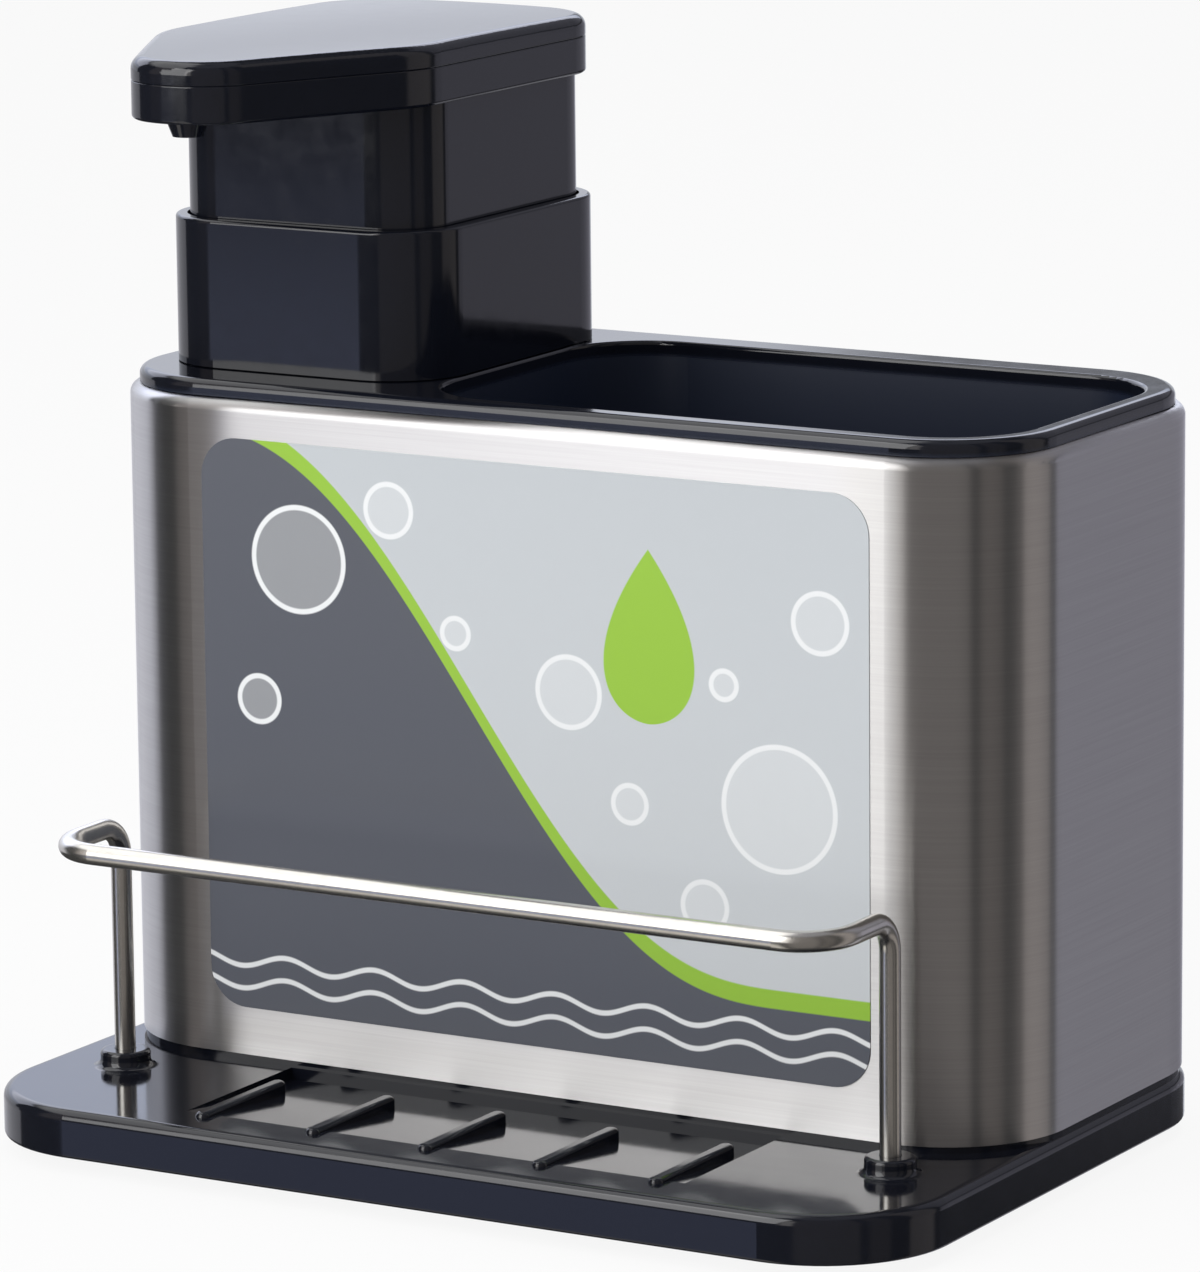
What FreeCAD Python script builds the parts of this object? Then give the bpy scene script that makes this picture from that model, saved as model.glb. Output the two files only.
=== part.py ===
import FreeCAD, Part
import math
import os

# Soap pump caddy: a brushed steel box on a moulded tray, with a lift-out liner for tools, a soap bottle
# with a press pump at its left end, and a wire rail that keeps a sponge on the tray in front.
# Millimetres. The origin is on the floor under the middle of the base, +X runs along the box to the
# tool end, +Y points to the back, +Z is up. An outline is (left, front, right, back, corner radius).

Vec = FreeCAD.Vector
UP = Vec(0, 0, 1)
SAME = 1e-6

# Overall size
WIDTH = 180.0
DEPTH = 128.0
HEIGHT = 188.0

# Levels above the floor
FOOT_HEIGHT = 2.5
TRAY_TOP = 10.8
BASE_TOP = 11.9
TUB_BOTTOM = 16.2
SLEEVE_TOP = 126.9
RIM_TOP = 129.75
COLLAR_TOP = 155.6
HEAD_BOTTOM = 177.0
HEAD_SEAM = 183.5

# Base tray
BASE_CORNER = 22.8
BASE_EDGE_ROUND = 1.8
BASE_FOOT_ROUND = 0.6
BASE_PLATE = 3.7
PLINTH_INSET = 0.4
BASE_SKIRT = 2.4
STIFFENER = 1.6
STIFFENER_PITCH = 16.0
STIFFENER_COUNT = 11
UPSTAND_HEIGHT = 4.0
UPSTAND_WALL = 1.8
UPSTAND_GAP = 0.2

# Drip ramp that falls towards the box, and the level ribs that stand in it
RAMP_HALF = 48.5
RAMP_FRONT = -54.1
RAMP_BACK = -21.0
RAMP_DEPTH = 2.1
DRIP_RIB_COUNT = 5
DRIP_RIB_PITCH = 22.0
DRIP_RIB_FRONT = -57.0
DRIP_RIB_BACK = -31.2
DRIP_RIB_WIDTH = 2.8
DRIP_RIB_END_ROUND = 1.35
DRIP_RIB_PROUD = 0.9
DRIP_RIB_ROUND = 0.9

# Foot pads
PAD_X = 70.0
PAD_Y = 44.0
PAD_DIAMETER = 14.0
PAD_SEAT = 0.8
PAD_BOSS_DIAMETER = 18.0
PAD_EDGE_ROUND = 0.6

# Wire rail and its sockets
WIRE = 3.6
POST_X = 75.0
POST_Y = -32.8
RAIL_Y = -54.8
RAIL_LEVEL = 53.6
POST_BEND = 5.5
RAIL_BEND = 9.0
SOCKET_DIAMETER = 8.7
SOCKET_HEIGHT = 3.0
SOCKET_FLARE = 1.4
SOCKET_RIM_ROUND = 0.8
SOCKET_FLOOR = 6.0
SOCKET_CLEARANCE = 0.1

# Steel sleeve
SLEEVE_HALF = 89.5
SLEEVE_FRONT = -20.5
SLEEVE_BACK = 63.3
SLEEVE_CORNER = 22.0
SHEET = 0.6
CURL_RADIUS = 2.0
LIP_REACH = 2.9
LUG_X = 45.0
LUG_WIDTH = 12.0
LUG_LENGTH = 9.0

# Screws through the sleeve's lugs
SCREW_SHANK = 2.6
SCREW_LENGTH = 6.5
SCREW_HEAD = 5.6
SCREW_HEAD_HEIGHT = 2.0
SCREW_SLOT = 1.0
SCREW_SLOT_DEPTH = 1.1
PILOT_CLEARANCE = 0.05
SCREW_BOSS = 7.0
SCREW_BOSS_BOTTOM = 4.0

# Front label
LABEL_HALF = 64.8
LABEL_BOTTOM = 20.4
LABEL_TOP = 120.4
LABEL_CORNER = 7.0
LABEL_FILM = 0.2

# Liner
RIM_INSET = 1.7
RIM_REST = 0.1
RIM_EDGE_ROUND = 1.5
POCKET_EDGE_ROUND = 0.7
TUB_WALL = 1.8
TUB_FLOOR_ROUND = 3.0
SPIGOT_GAP = 0.4
SPIGOT_DEPTH = 3.5
TOOL_POCKET = (-27.2, -14.5, 84.0, 54.0, 16.0)

# Pump collar, whose middle is the pump's axis
COLLAR = (-83.3, -8.2, -27.4, 58.0, 13.1)
COLLAR_REST = 0.2
COLLAR_WALL = 2.0
COLLAR_FLOOR = 2.5
COLLAR_EDGE_ROUND = 0.6
COLLAR_OVERHANG = 1.4
AXIS_X = (COLLAR[0] + COLLAR[2]) / 2
AXIS_Y = (COLLAR[1] + COLLAR[3]) / 2

# Bottle and its seal
BOTTLE_POCKET_CORNER = 15.5
BOTTLE_GAP = 0.5
BOTTLE_WALL = 1.6
BOTTLE_REST = 0.2
BOTTLE_FLOOR_ROUND = 3.0
GASKET = 1.5
GASKET_GAP = 0.1
SKIRT_GAP = 0.3
SKIRT_WALL = 1.5
SKIRT_DEPTH = 6.0

# Pump barrel, its nut and its valves
BARREL_OUTER = 17.0
BARREL_INNER = 13.0
BARREL_FLOOR = 88.0
BARREL_FLANGE = 25.0
BARREL_FLANGE_HEIGHT = 2.0
BARREL_GASKET = 1.0
BARREL_GAP = 0.15
SEAT_BORE = 3.4
BALL = 5.0
BALL_REST = 0.15
SPIGOT_OUTER = 9.0
SPIGOT_BOTTOM = 70.0
INLET_WALL = 3.0
NUT_BOSS_OUTER = 30.0
NUT_BOSS_INNER = 25.6
NUT_OUTER = 34.0
NUT_GAP = 0.1
NUT_PLATE = 2.0
NUT_CHAMFER = 0.6
DIP_TUBE_OUTER = 6.4
DIP_TUBE_INNER = 4.4
DIP_TUBE_BOTTOM = 22.0

# Stem, piston and spring
STEM_OUTER = 8.0
STEM_INNER = 5.0
STEM_BOTTOM = 110.0
STEM_TOP = 180.0
STEM_GUIDE_GAP = 0.1
PUSH_FIT = 0.05
PISTON_BOTTOM = 112.0
PISTON_TOP = 122.0
PISTON_GAP = 0.06
PISTON_LIP = 2.5
PISTON_WAIST = 1.0
OUTLET_BALL = 3.6
OUTLET_SEAT = 2.2
SPRING_MEAN = 14.0
SPRING_WIRE = 1.2
SPRING_TURNS = 8
SPRING_GAP = 0.3

# Plunger sleeve
PLUNGER_GAP = 0.5
PLUNGER_WALL = 1.6
PLUNGER_OVERLAP = 5.0
PLUNGER_TOP_FLANGE = 3.0
PLUNGER_TOP_PLATE = 2.0

# Pump head: a rectangle with a tapered beak towards the front
HEAD_INSET = 0.6
HEAD_BACK_CORNER = 12.4
HEAD_SHOULDER_Y = -5.4
HEAD_SHOULDER_ROUND = 22.0
HEAD_TIP_Y = -43.2
HEAD_TIP_HALF = 8.0
HEAD_TIP_ROUND = 11.5
HEAD_CROWN = 0.5
HEAD_WALL = 2.0
HEAD_FLOOR = 2.0
HEAD_LOW_ROUND = 0.7
HEAD_TOP_ROUND = 2.2
HEAD_SEAM_ROUND = 0.25
COVER_LIP = 1.2
COVER_LIP_DEPTH = 1.6
COVER_LIP_GAP = 0.15

# Outlet
NOZZLE_Y = -37.0
NOZZLE_OUTER = 7.2
NOZZLE_DROP = 2.6
NOZZLE_TAPER = 1.0
NOZZLE_FLANGE = 8.2
NOZZLE_FLANGE_HEIGHT = 1.2
NOZZLE_EXIT = 2.6
SPOUT_OUTER = 4.6
SPOUT_INNER = 3.0
SPOUT_LEVEL = 183.2
SPOUT_BEND = 3.0
SPOUT_PLUG = 1.8
SPOUT_DEPTH = 4.4
SPOUT_GAP = 0.2

BASE = (-WIDTH / 2, -DEPTH / 2, WIDTH / 2, DEPTH / 2, BASE_CORNER)
SLEEVE = (-SLEEVE_HALF, SLEEVE_FRONT, SLEEVE_HALF, SLEEVE_BACK, SLEEVE_CORNER)


def inset(outline, distance):
    left, front, right, back, radius = outline
    return (left + distance, front + distance, right - distance, back - distance, radius - distance)


def rounded_loop(corners, level):
    """Closed wire through (x, y, radius) corners, each rounded by a tangent arc."""
    edges = []
    points = [Vec(x, y, level) for x, y, radius in corners]
    last_end = None
    first_start = None
    for i, (x, y, radius) in enumerate(corners):
        to_last = (points[i - 1] - points[i]).normalize()
        to_next = (points[(i + 1) % len(points)] - points[i]).normalize()
        half_angle = to_last.getAngle(to_next) / 2
        reach = radius / math.tan(half_angle)
        start = points[i] + to_last * reach
        end = points[i] + to_next * reach
        bisector = (to_last + to_next).normalize()
        middle = points[i] + bisector * (radius / math.sin(half_angle) - radius)
        if last_end is None:
            first_start = start
        else:
            edges.append(Part.makeLine(last_end, start))
        edges.append(Part.Arc(start, middle, end).toShape())
        last_end = end
    edges.append(Part.makeLine(last_end, first_start))
    return Part.Wire(edges)


def outline_corners(outline):
    left, front, right, back, radius = outline
    return [(left, front, radius), (right, front, radius), (right, back, radius), (left, back, radius)]


def prism(corners, low, high):
    return Part.Face(rounded_loop(corners, low)).extrude(UP * (high - low))


def slab(outline, low, high):
    return prism(outline_corners(outline), low, high)


def frame(outline, wall, low, high):
    return slab(outline, low, high).cut(slab(inset(outline, wall), low - 1, high + 1))


def edges_at(solid, level):
    return [e for e in solid.Edges if all(abs(v.Z - level) < SAME for v in e.Vertexes)
            and abs(e.CenterOfMass.z - level) < SAME]


def round_level(solid, level, radius):
    """Round every edge of the solid that lies at one level."""
    return solid.makeFillet(radius, edges_at(solid, level))


def box(left, front, low, right, back, high):
    return Part.makeBox(right - left, back - front, high - low, Vec(left, front, low))


def rod(x, y, diameter, low, high):
    return Part.makeCylinder(diameter / 2, high - low, Vec(x, y, low), UP)


def tube(x, y, outer, inner, low, high):
    return rod(x, y, outer, low, high).cut(rod(x, y, inner, low, high))


def turned(profile):
    """Solid of revolution about the pump's axis from (radius, level) points."""
    points = [Vec(AXIS_X + radius, AXIS_Y, level) for radius, level in profile]
    face = Part.Face(Part.makePolygon(points + points[:1]))
    return face.revolve(Vec(AXIS_X, AXIS_Y, 0), UP, 360)


def swept(path, diameter):
    """Round bar along a wire that starts straight."""
    start = path.Edges[0].valueAt(path.Edges[0].FirstParameter)
    heading = path.Edges[0].tangentAt(path.Edges[0].FirstParameter)
    section = Part.Wire(Part.makeCircle(diameter / 2, start, heading))
    return path.makePipeShell([section], True, False)


def bent_path(points, radii):
    """Straight runs through the points, joined by a tangent arc at each inner point."""
    edges = []
    here = points[0]
    for before, corner, after, radius in zip(points, points[1:], points[2:], radii):
        back = (before - corner).normalize()
        ahead = (after - corner).normalize()
        half_angle = back.getAngle(ahead) / 2
        reach = radius / math.tan(half_angle)
        start = corner + back * reach
        end = corner + ahead * reach
        middle = corner + (back + ahead).normalize() * (radius / math.sin(half_angle) - radius)
        if (start - here).Length > SAME:
            edges.append(Part.makeLine(here, start))
        edges.append(Part.Arc(start, middle, end).toShape())
        here = end
    edges.append(Part.makeLine(here, points[-1]))
    return Part.Wire(edges)


def lug_places():
    """Plan position of the screw in the middle of each folded lug."""
    front = SLEEVE_FRONT + SHEET + LUG_LENGTH / 2
    back = SLEEVE_BACK - SHEET - LUG_LENGTH / 2
    return [(x, y) for y in (front, back) for x in (-LUG_X, LUG_X)]


def drip_rib(x):
    """Bar along Y with round ends and a round top, a little prouder than the tray at its front."""
    half = DRIP_RIB_WIDTH / 2
    low = TRAY_TOP - BASE_PLATE + 1
    high = TRAY_TOP + DRIP_RIB_PROUD
    rib = slab((x - half, DRIP_RIB_FRONT, x + half, DRIP_RIB_BACK, DRIP_RIB_END_ROUND), low, high)
    return round_level(rib, high, DRIP_RIB_ROUND)


def drip_ramp():
    """Wedge taken out of the tray: nothing at the front, deepest at the box."""
    side = [Vec(-RAMP_HALF, RAMP_FRONT, TRAY_TOP), Vec(-RAMP_HALF, RAMP_BACK, TRAY_TOP - RAMP_DEPTH),
            Vec(-RAMP_HALF, RAMP_BACK, TRAY_TOP + 1), Vec(-RAMP_HALF, RAMP_FRONT, TRAY_TOP + 1)]
    return Part.Face(Part.makePolygon(side + side[:1])).extrude(Vec(2 * RAMP_HALF, 0, 0))


def base_tray():
    under = TRAY_TOP - BASE_PLATE
    body = round_level(slab(BASE, FOOT_HEIGHT, TRAY_TOP), TRAY_TOP, BASE_EDGE_ROUND)
    body = round_level(body, FOOT_HEIGHT, BASE_FOOT_ROUND)
    body = body.cut(slab(inset(BASE, BASE_SKIRT), FOOT_HEIGHT - 1, under))

    inside = slab(inset(BASE, BASE_SKIRT / 2), FOOT_HEIGHT + 1, under + 1)
    stiffeners = []
    for i in range(STIFFENER_COUNT):
        x = (i - (STIFFENER_COUNT - 1) / 2) * STIFFENER_PITCH
        stiffeners.append(box(x - STIFFENER / 2, -DEPTH / 2, FOOT_HEIGHT + 1, x + STIFFENER / 2, DEPTH / 2,
                              under + 1).common(inside))
    pads = [rod(x, y, PAD_BOSS_DIAMETER, FOOT_HEIGHT, under + 1)
            for x in (-PAD_X, PAD_X) for y in (-PAD_Y, PAD_Y)]
    screw_bosses = [rod(x, y, SCREW_BOSS, SCREW_BOSS_BOTTOM, under + 1) for x, y in lug_places()]
    sockets = [rod(x, POST_Y, SOCKET_DIAMETER, SOCKET_FLOOR - BASE_SKIRT, TRAY_TOP + SOCKET_HEIGHT)
               for x in (-POST_X, POST_X)]
    body = body.fuse(stiffeners + pads + screw_bosses + sockets).removeSplitter()
    flare = [e for e in edges_at(body, TRAY_TOP) if e.BoundBox.XLength < SOCKET_DIAMETER + 1]
    body = body.makeFillet(SOCKET_FLARE, flare)
    body = round_level(body, TRAY_TOP + SOCKET_HEIGHT, SOCKET_RIM_ROUND)

    body = body.cut(drip_ramp())
    ribs = [drip_rib((i - (DRIP_RIB_COUNT - 1) / 2) * DRIP_RIB_PITCH) for i in range(DRIP_RIB_COUNT)]
    plinth = slab(inset(SLEEVE, PLINTH_INSET), under + 1, BASE_TOP)
    upstand = frame(inset(SLEEVE, SHEET + UPSTAND_GAP), UPSTAND_WALL, under + 1, BASE_TOP + UPSTAND_HEIGHT)
    for x, y in lug_places():
        half = LUG_WIDTH / 2 + 1
        upstand = upstand.cut(box(x - half, y - LUG_LENGTH, BASE_TOP, x + half, y + LUG_LENGTH,
                                  BASE_TOP + UPSTAND_HEIGHT + 1))
    body = body.fuse(ribs + [plinth, upstand])

    for x in (-PAD_X, PAD_X):
        for y in (-PAD_Y, PAD_Y):
            body = body.cut(rod(x, y, PAD_DIAMETER + 2 * SOCKET_CLEARANCE, 0, FOOT_HEIGHT + PAD_SEAT))
    for x in (-POST_X, POST_X):
        bore = WIRE + 2 * SOCKET_CLEARANCE
        body = body.cut(rod(x, POST_Y, bore, SOCKET_FLOOR, TRAY_TOP + SOCKET_HEIGHT + 1))
    for x, y in lug_places():
        pilot = SCREW_SHANK + 2 * PILOT_CLEARANCE
        body = body.cut(rod(x, y, pilot, BASE_TOP - SCREW_LENGTH, BASE_TOP + 1))
    return body.removeSplitter()


def foot_pad(x, y):
    return round_level(rod(x, y, PAD_DIAMETER, 0, FOOT_HEIGHT + PAD_SEAT), 0, PAD_EDGE_ROUND)


def steel_sleeve():
    outside = round_level(slab(SLEEVE, BASE_TOP, SLEEVE_TOP), SLEEVE_TOP, CURL_RADIUS)
    room = slab(inset(SLEEVE, SHEET), BASE_TOP - 1, SLEEVE_TOP - SHEET)
    room = round_level(room, SLEEVE_TOP - SHEET, CURL_RADIUS - SHEET)
    mouth = slab(inset(SLEEVE, LIP_REACH), BASE_TOP, SLEEVE_TOP + 1)
    sleeve = outside.cut(room).cut(mouth)
    lugs = [box(x - LUG_WIDTH / 2, y - LUG_LENGTH / 2 - SHEET / 2, BASE_TOP, x + LUG_WIDTH / 2,
                y + LUG_LENGTH / 2 + SHEET / 2, BASE_TOP + SHEET) for x, y in lug_places()]
    sleeve = sleeve.fuse(lugs)
    for x, y in lug_places():
        sleeve = sleeve.cut(rod(x, y, SCREW_SHANK + 4 * PILOT_CLEARANCE, BASE_TOP - 1, BASE_TOP + 1))
    return sleeve


def sleeve_screw(x, y):
    seat = BASE_TOP + SHEET
    head_top = seat + SCREW_HEAD_HEIGHT
    head = round_level(rod(x, y, SCREW_HEAD, seat, head_top), head_top, SCREW_HEAD_HEIGHT / 3)
    long_half = SCREW_HEAD / 3
    for half_x, half_y in ((long_half, SCREW_SLOT / 2), (SCREW_SLOT / 2, long_half)):
        head = head.cut(box(x - half_x, y - half_y, head_top - SCREW_SLOT_DEPTH, x + half_x, y + half_y,
                            head_top + 1))
    shank_bottom = BASE_TOP - SCREW_LENGTH + PILOT_CLEARANCE
    return head.fuse(rod(x, y, SCREW_SHANK, shank_bottom, seat)).removeSplitter()


def front_label():
    corners = [(-LABEL_HALF, LABEL_BOTTOM, LABEL_CORNER), (LABEL_HALF, LABEL_BOTTOM, LABEL_CORNER),
               (LABEL_HALF, LABEL_TOP, LABEL_CORNER), (-LABEL_HALF, LABEL_TOP, LABEL_CORNER)]
    film = prism(corners, 0, LABEL_FILM)
    film.rotate(Vec(0, 0, 0), Vec(1, 0, 0), 90)
    film.translate(Vec(0, SLEEVE_FRONT, 0))
    return film


def guard_rail():
    foot = SOCKET_FLOOR + SOCKET_CLEARANCE
    points = [Vec(-POST_X, POST_Y, foot), Vec(-POST_X, POST_Y, RAIL_LEVEL), Vec(-POST_X, RAIL_Y, RAIL_LEVEL),
              Vec(POST_X, RAIL_Y, RAIL_LEVEL), Vec(POST_X, POST_Y, RAIL_LEVEL), Vec(POST_X, POST_Y, foot)]
    return swept(bent_path(points, [POST_BEND, RAIL_BEND, RAIL_BEND, POST_BEND]), WIRE)


def bottle_pocket():
    left, front, right, back, radius = inset(COLLAR, COLLAR_OVERHANG)
    return (left, front, right, back, BOTTLE_POCKET_CORNER)


def inner_liner():
    rim_bottom = SLEEVE_TOP + RIM_REST
    rim = round_level(slab(inset(SLEEVE, RIM_INSET), rim_bottom, RIM_TOP), RIM_TOP, RIM_EDGE_ROUND)
    spigot = frame(inset(SLEEVE, LIP_REACH + SPIGOT_GAP), TUB_WALL, SLEEVE_TOP - SPIGOT_DEPTH, rim_bottom + 1)

    floor_round = TUB_FLOOR_ROUND + TUB_WALL
    pockets = (TOOL_POCKET, bottle_pocket())
    tubs = [round_level(slab(inset(pocket, -TUB_WALL), TUB_BOTTOM, rim_bottom + 1), TUB_BOTTOM, floor_round)
            for pocket in pockets]
    liner = rim.fuse([spigot] + tubs)
    for pocket in pockets:
        floor = TUB_BOTTOM + TUB_WALL
        liner = liner.cut(round_level(slab(pocket, floor, RIM_TOP + 1), floor, TUB_FLOOR_ROUND))

    left, front, right, back, radius = TOOL_POCKET
    edges = [e for e in edges_at(liner, RIM_TOP) if left - SAME < e.CenterOfMass.x < right + SAME]
    tool_edge = [e for e in edges if front - SAME < e.CenterOfMass.y < back + SAME]
    return liner.makeFillet(POCKET_EDGE_ROUND, tool_edge)


def bottle_outline():
    return inset(bottle_pocket(), BOTTLE_GAP)


def collar_bottom():
    return RIM_TOP + COLLAR_REST


def soap_bottle():
    bottom = TUB_BOTTOM + TUB_WALL + BOTTLE_REST
    floor = bottom + BOTTLE_WALL
    top = collar_bottom() - GASKET
    outside = round_level(slab(bottle_outline(), bottom, top), bottom, BOTTLE_FLOOR_ROUND + BOTTLE_WALL)
    inside = slab(inset(bottle_outline(), BOTTLE_WALL), floor, top + 1)
    return outside.cut(round_level(inside, floor, BOTTLE_FLOOR_ROUND))


def skirt_outline():
    return inset(bottle_outline(), BOTTLE_WALL + SKIRT_GAP)


def bottle_gasket():
    low = collar_bottom() - GASKET
    ring = slab(bottle_outline(), low, collar_bottom())
    return ring.cut(slab(inset(skirt_outline(), -GASKET_GAP), low - 1, collar_bottom() + 1))


def collar_floor():
    return collar_bottom() + COLLAR_FLOOR


def flange_seat():
    return collar_floor() + BARREL_GASKET


def flange_top():
    return flange_seat() + BARREL_FLANGE_HEIGHT


def pump_collar():
    shell = round_level(slab(COLLAR, collar_bottom(), COLLAR_TOP), COLLAR_TOP, COLLAR_EDGE_ROUND)
    shell = shell.cut(slab(inset(COLLAR, COLLAR_WALL), collar_floor(), COLLAR_TOP + 1))
    skirt = frame(skirt_outline(), SKIRT_WALL, collar_bottom() - SKIRT_DEPTH, collar_bottom() + 1)
    boss = tube(AXIS_X, AXIS_Y, NUT_BOSS_OUTER, NUT_BOSS_INNER, collar_floor() - 1, flange_top())
    hole = rod(AXIS_X, AXIS_Y, BARREL_OUTER + 2 * BARREL_GAP, collar_bottom() - 1, collar_floor() + 1)
    return shell.fuse([skirt, boss]).cut(hole)


def cylinder_gasket():
    return tube(AXIS_X, AXIS_Y, BARREL_FLANGE, BARREL_OUTER + 2 * BARREL_GAP, collar_floor(), flange_seat())


def inlet_ball_centre():
    """Level of the inlet ball, just clear of its 45 degree seat."""
    seat_edge = BARREL_FLOOR - INLET_WALL
    return seat_edge + BALL / 2 * math.sqrt(2) - SEAT_BORE / 2 + BALL_REST


def pump_cylinder():
    seat_edge = BARREL_FLOOR - INLET_WALL
    cone_top = BARREL_INNER / 2 - SEAT_BORE / 2
    socket = DIP_TUBE_OUTER / 2 + PILOT_CLEARANCE
    outer = BARREL_OUTER / 2
    neck = seat_edge - INLET_WALL
    return turned([(SEAT_BORE / 2, seat_edge), (BARREL_INNER / 2, seat_edge + cone_top),
                   (BARREL_INNER / 2, flange_top()), (BARREL_FLANGE / 2, flange_top()),
                   (BARREL_FLANGE / 2, flange_seat()), (outer, flange_seat()), (outer, neck + 1),
                   (SPIGOT_OUTER / 2 + 1, neck - 1), (SPIGOT_OUTER / 2, neck - 2),
                   (SPIGOT_OUTER / 2, SPIGOT_BOTTOM), (socket, SPIGOT_BOTTOM), (socket, neck),
                   (SEAT_BORE / 2, neck)])


def nut_top():
    return flange_top() + NUT_PLATE


def cylinder_cap():
    guide = STEM_OUTER / 2 + STEM_GUIDE_GAP
    inside = NUT_BOSS_OUTER / 2 + NUT_GAP
    outer = NUT_OUTER / 2
    skirt_end = collar_floor() + NUT_GAP
    return turned([(guide, flange_top()), (inside, flange_top()), (inside, skirt_end), (outer, skirt_end),
                   (outer, nut_top() - NUT_CHAMFER), (outer - NUT_CHAMFER, nut_top()), (guide, nut_top())])


def dip_tube():
    top = BARREL_FLOOR - 2 * INLET_WALL - PILOT_CLEARANCE
    return tube(AXIS_X, AXIS_Y, DIP_TUBE_OUTER, DIP_TUBE_INNER, DIP_TUBE_BOTTOM, top)


def inlet_ball():
    return Part.makeSphere(BALL / 2, Vec(AXIS_X, AXIS_Y, inlet_ball_centre()))


def outlet_ball():
    rest = OUTLET_BALL / 2 * math.sqrt(2) - OUTLET_SEAT / 2 + BALL_REST
    return Part.makeSphere(OUTLET_BALL / 2, Vec(AXIS_X, AXIS_Y, STEM_BOTTOM + 1 + rest))


def pump_stem():
    bore = STEM_INNER / 2
    seat = OUTLET_SEAT / 2
    cone_top = STEM_BOTTOM + 1 + bore - seat
    return turned([(seat, STEM_BOTTOM), (STEM_OUTER / 2, STEM_BOTTOM), (STEM_OUTER / 2, STEM_TOP),
                   (bore, STEM_TOP), (bore, cone_top), (seat, STEM_BOTTOM + 1)])


def piston():
    outer = BARREL_INNER / 2 - PISTON_GAP
    bore = STEM_OUTER / 2 + PUSH_FIT
    waist = outer - PISTON_WAIST
    waist_start = PISTON_LIP + PISTON_WAIST
    return turned([(bore, PISTON_BOTTOM), (outer, PISTON_BOTTOM), (outer, PISTON_BOTTOM + PISTON_LIP),
                   (waist, PISTON_BOTTOM + waist_start), (waist, PISTON_TOP - waist_start),
                   (outer, PISTON_TOP - PISTON_LIP), (outer, PISTON_TOP), (bore, PISTON_TOP)])


def half_arc(start, corner, end):
    """Circular arc from start to end whose end tangents meet at the corner."""
    weight = math.cos((corner - start).getAngle(end - start))
    middle = (start + corner * (2 * weight) + end) * (1 / (2 + 2 * weight))
    return Part.Arc(start, middle, end).toShape()


def return_spring():
    """Open coil whose centre line is a chain of biarcs, two to each quarter turn of a helix."""
    low = nut_top() + SPRING_GAP + SPRING_WIRE / 2
    high = HEAD_BOTTOM - SPRING_GAP - SPRING_WIRE / 2
    radius = SPRING_MEAN / 2
    quarters = 4 * SPRING_TURNS
    rise = (high - low) / quarters
    slope = rise / (radius * math.pi / 2)
    points = []
    headings = []
    for i in range(quarters + 1):
        turn = i * math.pi / 2
        points.append(Vec(AXIS_X + radius * math.cos(turn), AXIS_Y + radius * math.sin(turn), low + i * rise))
        headings.append(Vec(-math.sin(turn), math.cos(turn), slope).normalize())
    edges = []
    for here, there, leave, arrive in zip(points, points[1:], headings, headings[1:]):
        chord = there - here
        both = chord.dot(leave + arrive)
        spread = 2 * (1 - leave.dot(arrive))
        reach = (math.sqrt(both * both + spread * chord.dot(chord)) - both) / spread
        first = here + leave * reach
        second = there - arrive * reach
        joint = (first + second) * 0.5
        edges.append(half_arc(here, first, joint))
        edges.append(half_arc(joint, second, there))
    turn_gap = 4 * rise - SPRING_WIRE
    print("return_spring: gap between turns", round(turn_gap, 2), "mm")
    return swept(Part.Wire(edges), SPRING_WIRE)


def plunger_outline():
    return inset(COLLAR, COLLAR_WALL + PLUNGER_GAP)


def plunger_sleeve():
    low = COLLAR_TOP - PLUNGER_OVERLAP
    wall = frame(plunger_outline(), PLUNGER_WALL, low, HEAD_BOTTOM)
    inner = inset(plunger_outline(), PLUNGER_WALL / 2)
    plate = frame(inner, PLUNGER_TOP_FLANGE, HEAD_BOTTOM - PLUNGER_TOP_PLATE, HEAD_BOTTOM)
    return wall.fuse(plate).removeSplitter()


def head_corners(margin):
    """Plan of the head, drawn in by a margin all round."""
    left, front, right, back, radius = inset(COLLAR, HEAD_INSET)
    taper = math.hypot(HEAD_SHOULDER_Y - HEAD_TIP_Y, right - AXIS_X - HEAD_TIP_HALF)
    run = HEAD_SHOULDER_Y - HEAD_TIP_Y
    spread = right - AXIS_X - HEAD_TIP_HALF
    tip_half = HEAD_TIP_HALF - margin * (taper - spread) / run
    shoulder_y = HEAD_SHOULDER_Y + margin * (taper - run) / spread
    tip_y = HEAD_TIP_Y + margin
    back_round = HEAD_BACK_CORNER - margin
    tip_round = HEAD_TIP_ROUND - margin
    shoulder_round = HEAD_SHOULDER_ROUND - margin
    return [(AXIS_X - tip_half, tip_y, tip_round), (AXIS_X + tip_half, tip_y, tip_round),
            (right - margin, shoulder_y, shoulder_round), (right - margin, back - margin, back_round),
            (left + margin, back - margin, back_round), (left + margin, shoulder_y, shoulder_round)]


def head_base():
    floor = HEAD_BOTTOM + HEAD_FLOOR
    body = round_level(prism(head_corners(0), HEAD_BOTTOM, HEAD_SEAM), HEAD_BOTTOM, HEAD_LOW_ROUND)
    body = round_level(body, HEAD_SEAM, HEAD_SEAM_ROUND)
    body = body.cut(prism(head_corners(HEAD_WALL), floor, HEAD_SEAM + 1))
    for y, diameter in ((AXIS_Y, STEM_OUTER), (NOZZLE_Y, NOZZLE_OUTER)):
        body = body.cut(rod(AXIS_X, y, diameter + 2 * PUSH_FIT, HEAD_BOTTOM - 1, floor + 1))
    return body


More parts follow.
